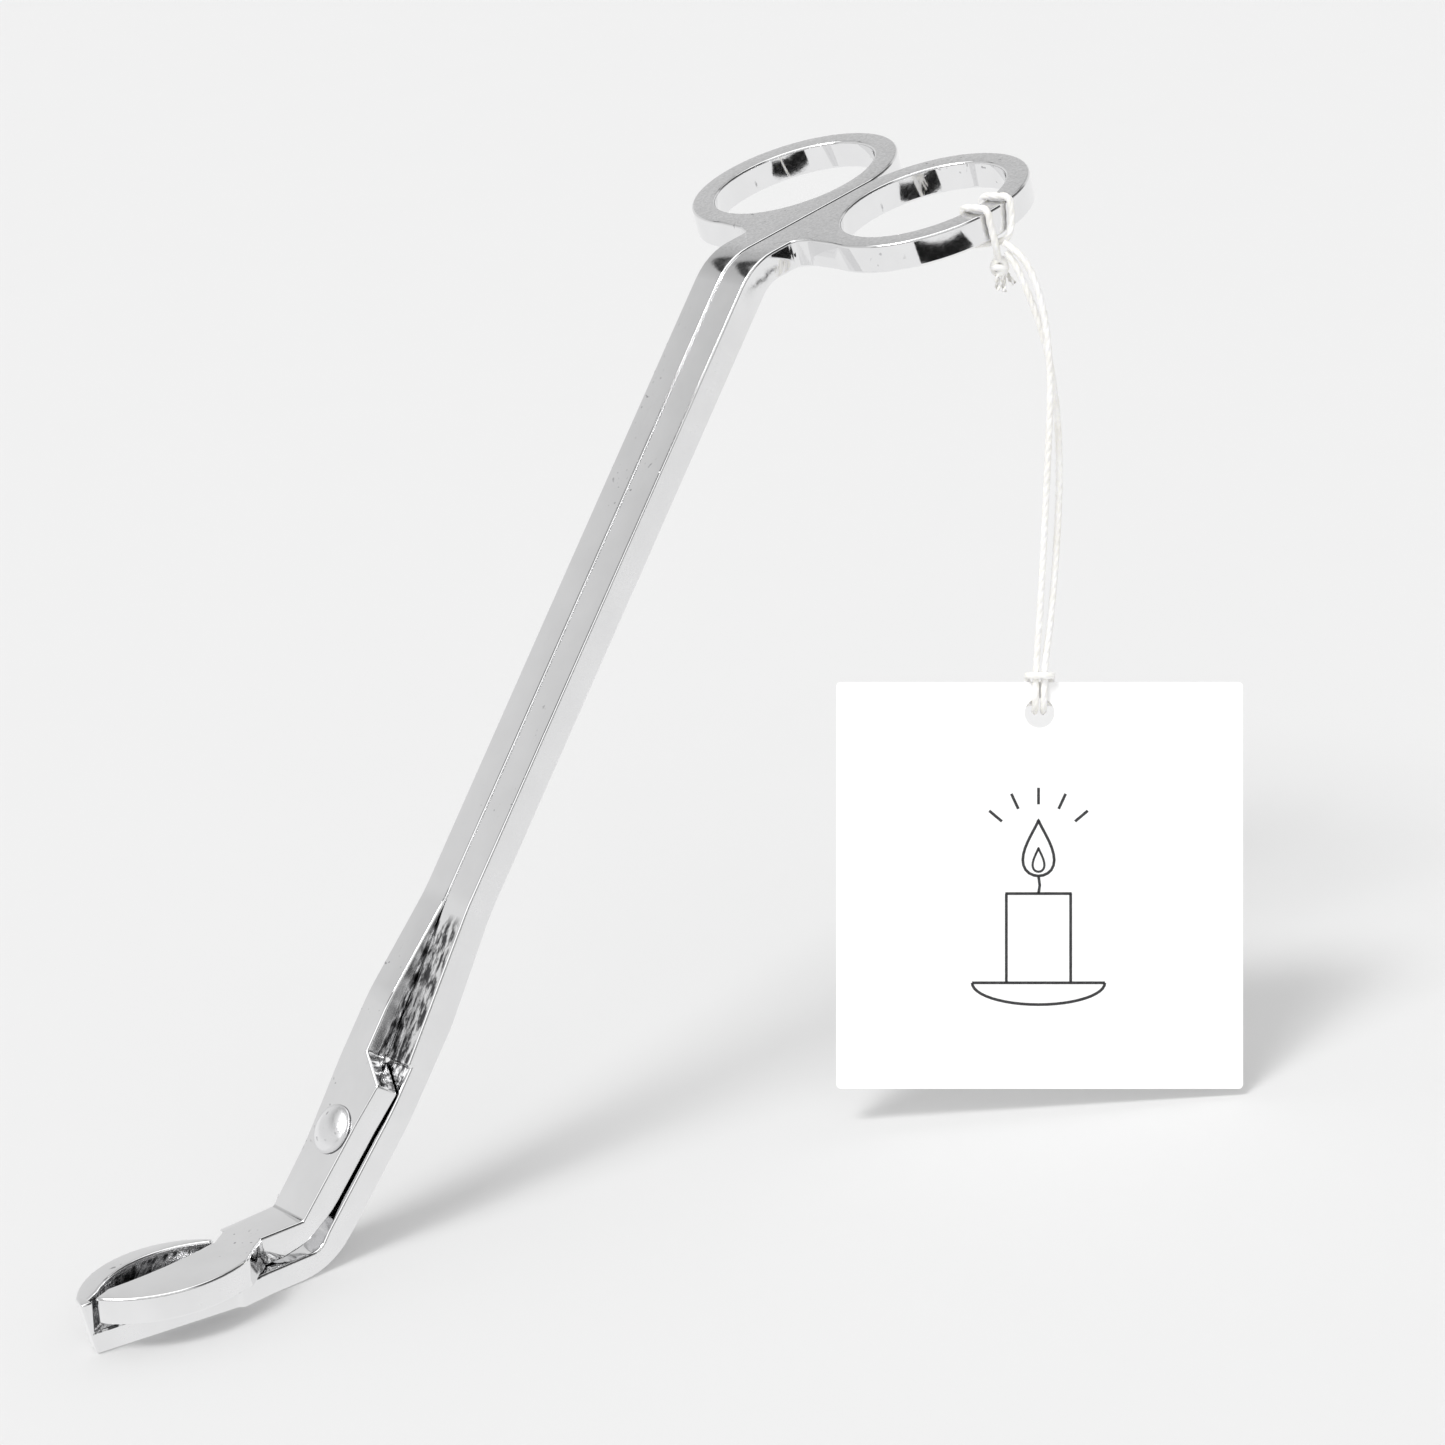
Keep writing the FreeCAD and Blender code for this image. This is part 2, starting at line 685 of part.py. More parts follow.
doc.recompute()
PIECES = [
    blade_lever,
    tray_lever,
    rivet_body,
    card_body,
    string_hitch,
    knot,
    near_strand,
    far_strand,
    tag_band,
]
for piece in PIECES:
    piece.Label = piece.Name
for obj in doc.Objects:
    if "Invalid" in obj.State or "Error" in obj.State:
        raise RuntimeError(f"{obj.Name} didn't compute: {obj.State}")
for piece in PIECES:
    if piece.Shape.isNull() or not piece.Shape.isValid():
        raise RuntimeError(f"{piece.Name} has no valid shape")
    print(piece.Name, len(piece.Shape.Solids), "solid", round(piece.Shape.Volume, 1), "mm3")
    piece.Shape.exportStep(f"parts/{piece.Label}.step")
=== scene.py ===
import math

import bmesh
import bpy
from mathutils import Matrix, Vector


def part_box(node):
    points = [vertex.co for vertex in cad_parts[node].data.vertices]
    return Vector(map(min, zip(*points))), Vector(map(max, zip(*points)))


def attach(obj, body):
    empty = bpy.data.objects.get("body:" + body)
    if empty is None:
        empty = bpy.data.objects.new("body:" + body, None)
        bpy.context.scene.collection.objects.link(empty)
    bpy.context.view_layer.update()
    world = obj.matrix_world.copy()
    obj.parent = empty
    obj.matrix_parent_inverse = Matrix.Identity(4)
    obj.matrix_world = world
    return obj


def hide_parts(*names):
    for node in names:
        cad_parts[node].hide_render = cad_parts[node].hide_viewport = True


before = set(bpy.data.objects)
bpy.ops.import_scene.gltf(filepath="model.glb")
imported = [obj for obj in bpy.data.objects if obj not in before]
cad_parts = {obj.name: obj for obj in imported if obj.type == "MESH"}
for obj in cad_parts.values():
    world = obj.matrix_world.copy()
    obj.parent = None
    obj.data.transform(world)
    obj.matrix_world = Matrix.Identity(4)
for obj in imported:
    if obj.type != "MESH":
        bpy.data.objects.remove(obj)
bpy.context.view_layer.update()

FLOOR_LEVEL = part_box("tray_lever")[0].z
MM = 0.001
bpy.context.scene.view_settings.view_transform = "Standard"

# ---- the camera, at the photo's viewing angle ----

CAMERA_PLACE = Vector((-0.33652, -0.38860, 0.11777))
CAMERA_RIGHT = Vector((0.7618, -0.6418, -0.0881))
CAMERA_UP = Vector((0.2829, 0.2072, 0.9365))
CAMERA_BACK = CAMERA_RIGHT.cross(CAMERA_UP)
CAMERA_LENS = 103.93
CAMERA_SENSOR = 36.0


def make_camera():
    data = bpy.data.cameras.new("camera")
    data.lens = CAMERA_LENS
    data.sensor_width = CAMERA_SENSOR
    data.clip_start = 0.01
    data.clip_end = 10
    camera = bpy.data.objects.new("camera", data)
    bpy.context.scene.collection.objects.link(camera)
    turn = Matrix((CAMERA_RIGHT, CAMERA_UP, CAMERA_BACK)).transposed()
    camera.matrix_world = Matrix.Translation(CAMERA_PLACE) @ turn.to_4x4()
    bpy.context.scene.camera = camera


make_camera()

# ---- the string's routes, as the CAD has them, in millimetres ----

TAG_HOLE = Vector((-1.11, -27.72, -62.13))
CARD_RIGHT = Vector((0.7618, -0.6418, -0.0881))
CARD_UP = Vector((0.2829, 0.2072, 0.9365))
CARD_OUT = CARD_RIGHT.cross(CARD_UP)
CARD_FRONT = 0.25


def on_tag(x, y, z):
    """A point of the row frame, from the tag's hole: right, up and out of the card."""
    return tuple(TAG_HOLE + CARD_RIGHT * x + CARD_UP * y + CARD_OUT * z)


HITCH_ROUTE = [
    (0.5, -23.95, -4.4),
    (-0.1, -24.55, -3.4),
    (-0.7, -24.95, -2.2),
    (-1.0, -24.9, -0.8),
    (-1.25, -24.85, 0.6),
    (-1.45, -24.85, 1.85),
    (-1.6, -24.35, 2.25),
    (-1.7, -23.3, 2.2),
    (-1.75, -22.1, 2.1),
    (-1.75, -21.1, 2.0),
    (-1.7, -20.6, 1.6),
    (-1.6, -20.6, 0.4),
    (-1.4, -20.6, -1.0),
    (-1.2, -20.65, -2.4),
    (-0.9, -21.15, -2.8),
    (-0.3, -22.2, -2.7),
    (0.5, -23.4, -2.55),
    (1.3, -24.35, -2.4),
    (1.9, -24.8, -1.75),
    (2.4, -24.8, -0.4),
    (2.5, -24.75, 1.1),
    (2.45, -24.7, 2.5),
    (2.3, -24.2, 2.95),
    (2.1, -23.2, 2.85),
    (1.9, -22.1, 2.8),
    (1.75, -21.1, 2.7),
    (1.6, -20.6, 2.3),
    (1.5, -20.55, 1.1),
    (1.45, -20.55, -0.4),
    (1.4, -20.65, -1.85),
    (1.45, -21.1, -2.3),
    (1.5, -22.0, -2.35),
]
NEAR_STRAND_ROUTE = [
    (0.2, -25.5, -2.2),
    (0.9, -26.9, -3.2),
    (1.75, -28.1, -5.3),
    (2.5, -28.85, -8.8),
    (2.95, -29.3, -13.8),
    (2.85, -29.35, -20.2),
    (2.25, -28.9, -28.0),
    (1.45, -28.2, -37.7),
    (0.7, -27.5, -47.1),
    on_tag(-0.52, 5.6, 0.75),
    on_tag(-0.52, 1.0, 0.85),
    on_tag(-0.52, 0.2, -1.0),
]
FAR_STRAND_ROUTE = [
    (0.75, -25.3, -3.5),
    (1.1, -26.3, -4.9),
    (1.9, -27.0, -7.9),
    (3.15, -27.8, -12.6),
    (4.1, -28.4, -18.7),
    (4.35, -28.7, -25.8),
    (3.95, -28.6, -34.0),
    (2.95, -28.15, -43.0),
    (1.8, -27.7, -51.0),
    on_tag(0.52, 5.6, 0.75),
    on_tag(0.52, 1.0, 0.85),
    on_tag(0.52, 0.2, -1.0),
]
BAND_ROUTE = [
    on_tag(-1.15, 0.9, -0.75),
    on_tag(-1.5, 3.0, -0.75),
    on_tag(-1.55, 4.7, -0.65),
    on_tag(-1.5, 4.7, 1.72),
    on_tag(1.5, 4.7, 1.72),
    on_tag(1.55, 4.7, -0.65),
    on_tag(1.5, 3.0, -0.75),
    on_tag(1.15, 0.9, -0.75),
]
KNOT_PLACE = Vector((0.86, -23.8, -5.53))

STRING_THICK = 0.9
PLIES = 3
PLY_SHARE = 0.74
TWIST_PITCH = 4.2
RING_STEPS = 10
LINE_STEPS = 14
PLY_STEP = 0.22


def link(name, mesh):
    piece = bpy.data.objects.new(name, mesh)
    bpy.context.scene.collection.objects.link(piece)
    return piece


def spline_points(name, points):
    """The route's NURBS line in metres, as evenly read points."""
    curve = bpy.data.curves.new(name, "CURVE")
    curve.dimensions = "3D"
    curve.resolution_u = LINE_STEPS
    line = curve.splines.new("NURBS")
    line.points.add(len(points) - 1)
    for spot, point in zip(line.points, points):
        spot.co = (*(Vector(point) * MM), 1)
    line.order_u = 3
    line.use_endpoint_u = True
    holder = bpy.data.objects.new(name, curve)
    bpy.context.scene.collection.objects.link(holder)
    bpy.context.view_layer.update()
    mesh = bpy.data.meshes.new_from_object(holder)
    line_points = [v.co.copy() for v in mesh.vertices]
    bpy.data.objects.remove(holder)
    bpy.data.curves.remove(curve)
    bpy.data.meshes.remove(mesh)
    return line_points


def frames_along(points):
    """A direction and two steady sideways vectors at each point."""
    ahead = (points[1] - points[0]).normalized()
    side = ahead.orthogonal().normalized()
    frames = []
    for i, point in enumerate(points):
        before = points[max(0, i - 1)]
        after = points[min(len(points) - 1, i + 1)]
        turned = (after - before).normalized()
        side = (ahead.rotation_difference(turned) @ side).normalized()
        ahead = turned
        frames.append((point, ahead, side, ahead.cross(side)))
    return frames


def add_ply(bm, frames, ply_radius, offset, phase, pitch):
    """One ply of a twisted string: a thin tube that winds round the line."""
    rings = []
    travelled = 0
    last = frames[0][0]
    for point, ahead, side, across in frames:
        travelled += (point - last).length
        last = point
        turn = phase + 2 * math.pi * travelled / pitch
        middle = point + (side * math.cos(turn) + across * math.sin(turn)) * offset
        ring = []
        for k in range(RING_STEPS):
            angle = 2 * math.pi * k / RING_STEPS
            out = side * math.cos(angle) + across * math.sin(angle)
            ring.append(bm.verts.new(middle + out * ply_radius))
        rings.append(ring)
    for a, b in zip(rings, rings[1:]):
        for k in range(RING_STEPS):
            n = (k + 1) % RING_STEPS
            bm.faces.new((a[k], a[n], b[n], b[k]))
    bm.faces.new(reversed(rings[0]))
    bm.faces.new(rings[-1])


def finer(points, step):
    """The line with points about a step apart, for the twist."""
    fine = [points[0]]
    for a, b in zip(points, points[1:]):
        parts = max(1, round((b - a).length / step))
        fine.extend(a.lerp(b, k / parts) for k in range(1, parts + 1))
    return fine


def twisted_string(name, points):
    """A three-ply twisted string along the line."""
    radius = STRING_THICK * MM / 2
    ply_radius = radius * PLY_SHARE
    frames = frames_along(finer(points, PLY_STEP * MM))
    bm = bmesh.new()
    for ply in range(PLIES):
        phase = 2 * math.pi * ply / PLIES
        add_ply(bm, frames, ply_radius, radius - ply_radius, phase, TWIST_PITCH * MM)
    mesh = bpy.data.meshes.new(name)
    bm.to_mesh(mesh)
    bm.free()
    for face in mesh.polygons:
        face.use_smooth = True
    return link(name, mesh)


# ---- materials ----


class Nodes:
    """Short forms for building a node tree."""

    def __init__(self, name):
        self.material = bpy.data.materials.new(name)
        self.material.use_nodes = True
        self.tree = self.material.node_tree
        self.shader = self.tree.nodes["Principled BSDF"]

    def join(self, source, target):
        self.tree.links.new(source, target)

    def place(self):
        return self.node("ShaderNodeTexCoord").outputs["Object"]

    def node(self, kind, **settings):
        made = self.tree.nodes.new(kind)
        for key, value in settings.items():
            setattr(made, key, value)
        return made

    def feed(self, socket, value):
        if isinstance(value, (int, float)):
            socket.default_value = value
        elif isinstance(value, (tuple, Vector)):
            socket.default_value = tuple(value)
        else:
            self.join(value, socket)

    def maths(self, operation, first, second=0.0):
        made = self.node("ShaderNodeMath", operation=operation)
        self.feed(made.inputs[0], first)
        self.feed(made.inputs[1], second)
        return made.outputs[0]

    def along(self, vector, direction):
        made = self.node("ShaderNodeVectorMath", operation="DOT_PRODUCT")
        self.feed(made.inputs[0], vector)
        self.feed(made.inputs[1], direction)
        return made.outputs["Value"]

    def vector(self, x, y, z):
        made = self.node("ShaderNodeCombineXYZ")
        for socket, value in zip(made.inputs, (x, y, z)):
            self.feed(socket, value)
        return made.outputs[0]

    def noise(self, vector, scale, detail, roughness):
        made = self.node("ShaderNodeTexNoise")
        self.feed(made.inputs["Vector"], vector)
        made.inputs["Scale"].default_value = scale
        made.inputs["Detail"].default_value = detail
        made.inputs["Roughness"].default_value = roughness
        return made.outputs["Fac"]

    def spread(self, value, low, high, to_low, to_high):
        made = self.node("ShaderNodeMapRange")
        self.feed(made.inputs["Value"], value)
        made.inputs["From Min"].default_value = low
        made.inputs["From Max"].default_value = high
        made.inputs["To Min"].default_value = to_low
        made.inputs["To Max"].default_value = to_high
        return made.outputs[0]

    def rise(self, value, fade):
        """0 before the fade and 1 after it."""
        return self.spread(value, *fade, 0.0, 1.0)

    def fall(self, value, fade):
        """1 before the fade and 0 after it."""
        return self.spread(value, *fade, 1.0, 0.0)

    def product(self, first, *others):
        for other in others:
            first = self.maths("MULTIPLY", first, other)
        return first

    def total(self, first, *others):
        for other in others:
            first = self.maths("ADD", first, other)
        return first

    def uniform(self, socket, value):
        self.shader.inputs[socket].default_value = value

    def blend_colour(self, share, first, second):
        made = self.node("ShaderNodeMix", data_type="RGBA")
        self.feed(made.inputs["Factor"], share)
        self.feed(made.inputs["A"], first)
        self.feed(made.inputs["B"], second)
        return made.outputs["Result"]

    def bump(self, height, strength, depth, normal=None):
        made = self.node("ShaderNodeBump")
        made.inputs["Strength"].default_value = strength
        made.inputs["Distance"].default_value = depth
        self.feed(made.inputs["Height"], height)
        if normal is not None:
            self.join(normal, made.inputs["Normal"])
        return made.outputs[0]


# ---- steel ----

SHANK_PITCH = math.radians(52)
ALONG_SHANK = Vector((math.cos(SHANK_PITCH), 0, math.sin(SHANK_PITCH)))
OUT_OF_SHANK = Vector((-math.sin(SHANK_PITCH), 0, math.cos(SHANK_PITCH)))
ELBOW = Vector((-21.94, 0, -2.43)) * MM
LEVEL = Vector((1, 0, 0))
SIDEWAYS = Vector((0, 1, 0))
UP = Vector((0, 0, 1))

# where the finishes are: each pair is the start and the end of a fade
WALL_FACING = (0.7, 0.95)
BRUSH_FADE = (-9 * MM, -2 * MM)
BAR_SIDE = (4.1 * MM, 4.25 * MM)
POCKET_SUNK = (-0.24 * MM, -0.12 * MM)
POCKET_FOOT = (-110 * MM, -109 * MM)
POCKET_APEX = (-87 * MM, -84 * MM)
WELL_RIM = (FLOOR_LEVEL + 6.5 * MM, FLOOR_LEVEL + 6.7 * MM)
WELL_BED = (FLOOR_LEVEL + 1.95 * MM, FLOOR_LEVEL + 2.05 * MM)
WELL_START = (-109 * MM, -108 * MM)
WELL_MIDDLE = Vector((-119.7, 2.0, 0)) * MM
WELL_INWARD = (2 * MM, 4 * MM)
WELL_FACING = (0.3, 0.6)
GRIP_FADE = (-9 * MM, -5 * MM)
GRIP_FACING = (0.85, 0.97)
PLATE_LEVEL = 1.55 * MM
PLATE_NEAR = (0.008 * MM, 0.014 * MM)
PLATE_FACING = (0.6, 0.8)
# where the painted shade in the crease at the rivet's foot fades out
CREVICE_SHADE_FADE = (0.05 * MM, 0.26 * MM)

# noise settings: scale, detail, roughness
FINE_GRAIN = (2600, 3, 0.6)
BRUSH_STROKES = (1100, 4, 0.7)
CLOUDS = (140, 3, 0.6)
CAST_LUMPS = (1500, 3, 0.65)
WORN_PATCHES = (95, 1, 0.4)
PIT_DOTS = (1500, 1, 0.3)
SCRATCH_LINES = (420, 1, 0.4)

# factors on a texture's place along, across and out of the shank: a small one draws it out
EVEN = (1, 1, 1)
BRUSH_FACTORS = (2.6, 1, 0.22)
CAST_FACTORS = (0.28, 1, 1)
SCRATCH_FACTORS = (0.3, 8, 1)

# the part of a noise's range that a texture uses
MIDDLE_NOISE = (0.3, 0.7)
CLOUD_NOISE = (0.35, 0.7)
POCKET_REFLECTION_NOISE = (0.42, 0.56)
WORN_NOISE = (0.56, 0.62)
PIT_NOISE = (0.70, 0.76)
SCRATCH_NOISE = (0.68, 0.71)

CLOUD_TINT = 0.95
PIT_TINT = 0.6
PIT_COLOUR = (0.22, 0.22, 0.23, 1)
# painted reflection: dark patches in the cast pocket and well stand in for what their rough curved faces
# reflect
POCKET_REFLECTION_TINT = 0.95
POCKET_REFLECTION_COLOUR = (0.035, 0.035, 0.038, 1)
# the grip's up-facing tops: a real rougher satin finish, with painted shade darkening their colour
SATIN_TOP_SHADE_TINT = (0.38, 0.10)
SATIN_TOP_SHADE_COLOUR = (0.16, 0.16, 0.165, 1)
# colour of the painted shade in the crease at the rivet's foot
CREVICE_SHADE_COLOUR = (0.08, 0.08, 0.085, 1)

GRAIN_ROUGH = 0.02
BRUSH_ROUGH = 0.4
SATIN_ROUGH = 0.10
CLOUD_ROUGH = 0.06
LEAST_ROUGH = 0.03

GRAIN_RELIEF = 0.12
CAST_RELIEF = 5.0
PIT_DEPTH = 0.8
SCRATCH_DEPTH = 0.3
STEEL_BUMP = (0.5, 0.02 * MM)


def in_shank(n, place, factors):
    """The point's place along, across and out of the shank, each times its factor."""
    directions = (ALONG_SHANK, SIDEWAYS, OUT_OF_SHANK)
    return n.vector(*[n.product(n.along(place, way), factor) for way, factor in zip(directions, factors)])


def steel_zones(n, place, normal, well_share):
    """How much of each finish a point has, from 0 to 1, and its height above the bar's face."""
    from_elbow = n.maths("SUBTRACT", n.along(place, ALONG_SHANK), ELBOW.dot(ALONG_SHANK))
    above_bar = n.maths("SUBTRACT", n.along(place, OUT_OF_SHANK), ELBOW.dot(OUT_OF_SHANK))
    level = n.along(place, UP)
    facing_up = n.along(normal, UP)

    wall = n.rise(n.maths("ABSOLUTE", n.along(normal, SIDEWAYS)), WALL_FACING)
    brushed = n.product(wall, n.fall(from_elbow, BRUSH_FADE))

    between = n.fall(n.maths("ABSOLUTE", n.along(place, SIDEWAYS)), BAR_SIDE)
    sunk = n.fall(above_bar, POCKET_SUNK)
    pocket = n.product(between, sunk, n.fall(from_elbow, POCKET_APEX), n.rise(from_elbow, POCKET_FOOT))

    inward = n.node("ShaderNodeVectorMath", operation="SUBTRACT")
    n.feed(inward.inputs[0], WELL_MIDDLE)
    n.feed(inward.inputs[1], place)
    faces_in = n.rise(n.along(normal, inward.outputs[0]), WELL_INWARD)
    in_well = n.maths("MAXIMUM", n.rise(facing_up, WELL_FACING), faces_in)
    below_rim = n.fall(level, WELL_RIM)
    above_bed = n.rise(level, WELL_BED)
    within = n.product(below_rim, above_bed, n.fall(n.along(place, LEVEL), WELL_START))

    return {
        "above_bar": above_bar,
        "wall": wall,
        "brushed": brushed,
        "cast": n.maths("MAXIMUM", pocket, n.product(in_well, within, well_share)),
        "satin_and_top_shade": n.product(n.rise(level, GRIP_FADE), n.rise(facing_up, GRIP_FACING)),
    }


def steel_colour(n, base, crevice_shade, zones, cloud, fine, lumps, pits):
    dull = tuple(channel * CLOUD_TINT for channel in base)
    tone = n.blend_colour(n.rise(cloud, CLOUD_NOISE), (*dull, 1), (*base, 1))
    tone = n.blend_colour(n.product(pits, PIT_TINT), tone, PIT_COLOUR)
    # painted reflection: dark patches blended into the colour of the cast pocket and well
    painted_reflection = n.product(zones["cast"], n.spread(lumps, *POCKET_REFLECTION_NOISE, POCKET_REFLECTION_TINT, 0.0))
    tone = n.blend_colour(painted_reflection, tone, POCKET_REFLECTION_COLOUR)
    # painted shade: the up-facing grip tops are darkened, on top of their rougher satin finish
    satin_and_top_shade = n.product(zones["satin_and_top_shade"], n.spread(fine, *MIDDLE_NOISE, *SATIN_TOP_SHADE_TINT))
    tone = n.blend_colour(satin_and_top_shade, tone, SATIN_TOP_SHADE_COLOUR)
    # painted shade: the colour darkens in the crease where the rivet meets the pivot plate
    if crevice_shade:
        above_plate = n.maths("SUBTRACT", zones["above_bar"], PLATE_LEVEL)
        tone = n.blend_colour(n.spread(above_plate, *CREVICE_SHADE_FADE, crevice_shade, 0.0), tone, CREVICE_SHADE_COLOUR)
    n.join(tone, n.shader.inputs["Base Color"])


def steel_roughness(n, rough, brushing, zones, cloud, fine):
    roughness = n.total(
        n.spread(fine, *MIDDLE_NOISE, rough - GRAIN_ROUGH, rough + GRAIN_ROUGH),
        n.product(zones["brushed"], brushing * BRUSH_ROUGH),
        n.product(zones["satin_and_top_shade"], SATIN_ROUGH),
        n.product(n.maths("SUBTRACT", cloud, 0.5), CLOUD_ROUGH),
    )
    n.join(n.maths("MAXIMUM", roughness, LEAST_ROUGH), n.shader.inputs["Roughness"])


def steady_normal(n, normal, true_normal, above_bar):
    """The shading normal, held square to the pivot plate on its flat top."""
    off_plate = n.maths("ABSOLUTE", n.maths("SUBTRACT", above_bar, PLATE_LEVEL))
    facing_out = n.rise(n.along(true_normal, OUT_OF_SHANK), PLATE_FACING)
    steady = n.node("ShaderNodeMix", data_type="VECTOR")
    n.feed(steady.inputs["Factor"], n.product(n.fall(off_plate, PLATE_NEAR), facing_out))
    n.join(normal, steady.inputs[4])
    n.feed(steady.inputs[5], OUT_OF_SHANK)
    return steady.outputs[1]


def steel(name, base, rough, brushing, crevice_shade=0.0, well_share=0.0):
    """Polished steel with fine grain, brushed side walls, rough cast hollows, pits and scratches."""
    n = Nodes(name)
    place = n.place()
    geometry = n.node("ShaderNodeNewGeometry")
    normal = geometry.outputs["Normal"]
    zones = steel_zones(n, place, normal, well_share)

    fine = n.noise(in_shank(n, place, EVEN), *FINE_GRAIN)
    strokes = n.noise(in_shank(n, place, BRUSH_FACTORS), *BRUSH_STROKES)
    cloud = n.noise(place, *CLOUDS)
    lumps = n.noise(in_shank(n, place, CAST_FACTORS), *CAST_LUMPS)
    worn = n.rise(n.noise(place, *WORN_PATCHES), WORN_NOISE)
    off_wall = n.maths("SUBTRACT", 1.0, zones["wall"])
    pits = n.product(n.rise(n.noise(place, *PIT_DOTS), PIT_NOISE), worn, off_wall)
    scratch_noise = n.noise(in_shank(n, place, SCRATCH_FACTORS), *SCRATCH_LINES)
    scratches = n.product(n.rise(scratch_noise, SCRATCH_NOISE), worn)

    steel_colour(n, base, crevice_shade, zones, cloud, fine, lumps, pits)
    steel_roughness(n, rough, brushing, zones, cloud, fine)
    n.uniform("Metallic", 1.0)

    height = n.total(
        n.product(n.maths("SUBTRACT", 1.0, zones["brushed"]), fine, GRAIN_RELIEF),
        n.product(strokes, zones["brushed"], brushing),
        n.product(lumps, zones["cast"], CAST_RELIEF),
    )
    height = n.maths("SUBTRACT", height, n.product(pits, PIT_DEPTH))
    height = n.maths("SUBTRACT", height, n.product(scratches, SCRATCH_DEPTH))
    ground = steady_normal(n, normal, geometry.outputs["True Normal"], zones["above_bar"])
    n.join(n.bump(height, *STEEL_BUMP, ground), n.shader.inputs["Normal"])
    return n.material


# ---- card, string, ink and floor ----

CARD_TONES = ((0.93, 0.93, 0.93, 1), (0.96, 0.96, 0.955, 1))
CARD_EDGE = (0.86, 0.85, 0.83, 1)
CARD_EDGE_FACING = (0.5, 0.9)
CARD_EDGE_TINT = 0.8
CARD_FIBRE = (1500, 4, 0.65)
CARD_PATCHES = (90, 2, 0.5)
CARD_ROUGH = (0.52, 0.66)
CARD_SHINE = 0.35
CARD_BUMP = (0.12, 0.03 * MM)
PATCH_NOISE = (0.35, 0.65)


def card_material():
    """Matt coated white card with a faint fibre texture and slightly toned edges."""
    n = Nodes("card_white")
    place = n.place()
    fibre = n.noise(place, *CARD_FIBRE)
    front = n.along(n.node("ShaderNodeNewGeometry").outputs["Normal"], CARD_OUT)
    edge = n.fall(n.maths("ABSOLUTE", front), CARD_EDGE_FACING)
    tone = n.blend_colour(n.rise(n.noise(place, *CARD_PATCHES), PATCH_NOISE), *CARD_TONES)
    tone = n.blend_colour(n.product(edge, CARD_EDGE_TINT), tone, CARD_EDGE)
    n.join(tone, n.shader.inputs["Base Color"])
    n.join(n.spread(fibre, *MIDDLE_NOISE, *CARD_ROUGH), n.shader.inputs["Roughness"])
    n.uniform("Specular IOR Level", CARD_SHINE)
    n.join(n.bump(fibre, *CARD_BUMP), n.shader.inputs["Normal"])
    return n.material


STRING_TONES = ((0.90, 0.885, 0.85, 1), (0.96, 0.955, 0.94, 1))
STRING_FIBRE = (5200, 3, 0.6)
STRING_DUST = (500, 2, 0.5)
STRING_ROUGH = (0.55, 0.8)
STRING_SHEEN = 0.25
STRING_SHEEN_ROUGH = 0.4
STRING_GLOW = 0.15
STRING_GLOW_REACH = (0.4 * MM, 0.4 * MM, 0.3 * MM)
STRING_BUMP = (0.25, 0.02 * MM)


def string_material():
    """Waxed cotton: off-white, with fine fibres and a soft sheen."""
    n = Nodes("string_cotton")
    place = n.place()
    fibre = n.noise(place, *STRING_FIBRE)
    tone = n.blend_colour(n.rise(n.noise(place, *STRING_DUST), PATCH_NOISE), *STRING_TONES)
    n.join(tone, n.shader.inputs["Base Color"])
    n.join(n.spread(fibre, *MIDDLE_NOISE, *STRING_ROUGH), n.shader.inputs["Roughness"])
    n.uniform("Sheen Weight", STRING_SHEEN)
    n.uniform("Sheen Roughness", STRING_SHEEN_ROUGH)
    n.uniform("Subsurface Weight", STRING_GLOW)
    n.uniform("Subsurface Radius", STRING_GLOW_REACH)
    n.join(n.bump(fibre, *STRING_BUMP), n.shader.inputs["Normal"])
    return n.material


INK_TONES = ((0.022, 0.022, 0.024, 1), (0.05, 0.05, 0.052, 1))
INK_SPECK = (3000, 2, 0.6)
INK_ROUGH = (0.45, 0.6)


def ink_material():
    """Thin charcoal print, a little uneven as ink on card is."""
    n = Nodes("ink_charcoal")
    speck = n.noise(n.place(), *INK_SPECK)
    tone = n.blend_colour(n.rise(speck, CLOUD_NOISE), *INK_TONES)
    n.join(tone, n.shader.inputs["Base Color"])
    n.join(n.spread(speck, *MIDDLE_NOISE, *INK_ROUGH), n.shader.inputs["Roughness"])
    return n.material


FLOOR_TONES = ((0.76, 0.76, 0.76, 1), (0.765, 0.765, 0.765, 1))
FLOOR_GRAIN = (40, 2, 0.5)
FLOOR_GLOW_FOR_REFLECTIONS = 0.92
FLOOR_SHINE = 0.1
STAGE_ROUGH = 0.9


def floor_material():
    """A matt pale floor, which glows evenly for glossy rays: a painted reflection that the steel shows as
    an even light surface.
    """
    n = Nodes("floor_pale")
    tone = n.blend_colour(n.noise(n.place(), *FLOOR_GRAIN), *FLOOR_TONES)
    n.join(tone, n.shader.inputs["Base Color"])
    n.uniform("Roughness", STAGE_ROUGH)
    n.uniform("Specular IOR Level", FLOOR_SHINE)
    # painted reflection: glossy rays see an even glow in place of the lit floor
    glow = n.node("ShaderNodeEmission")
    glow.inputs["Strength"].default_value = FLOOR_GLOW_FOR_REFLECTIONS
    pick = n.node("ShaderNodeMixShader")
    n.join(n.node("ShaderNodeLightPath").outputs["Is Glossy Ray"], pick.inputs[0])
    n.join(n.shader.outputs[0], pick.inputs[1])
    n.join(glow.outputs[0], pick.inputs[2])
    n.join(pick.outputs[0], n.tree.nodes["Material Output"].inputs["Surface"])
    return n.material


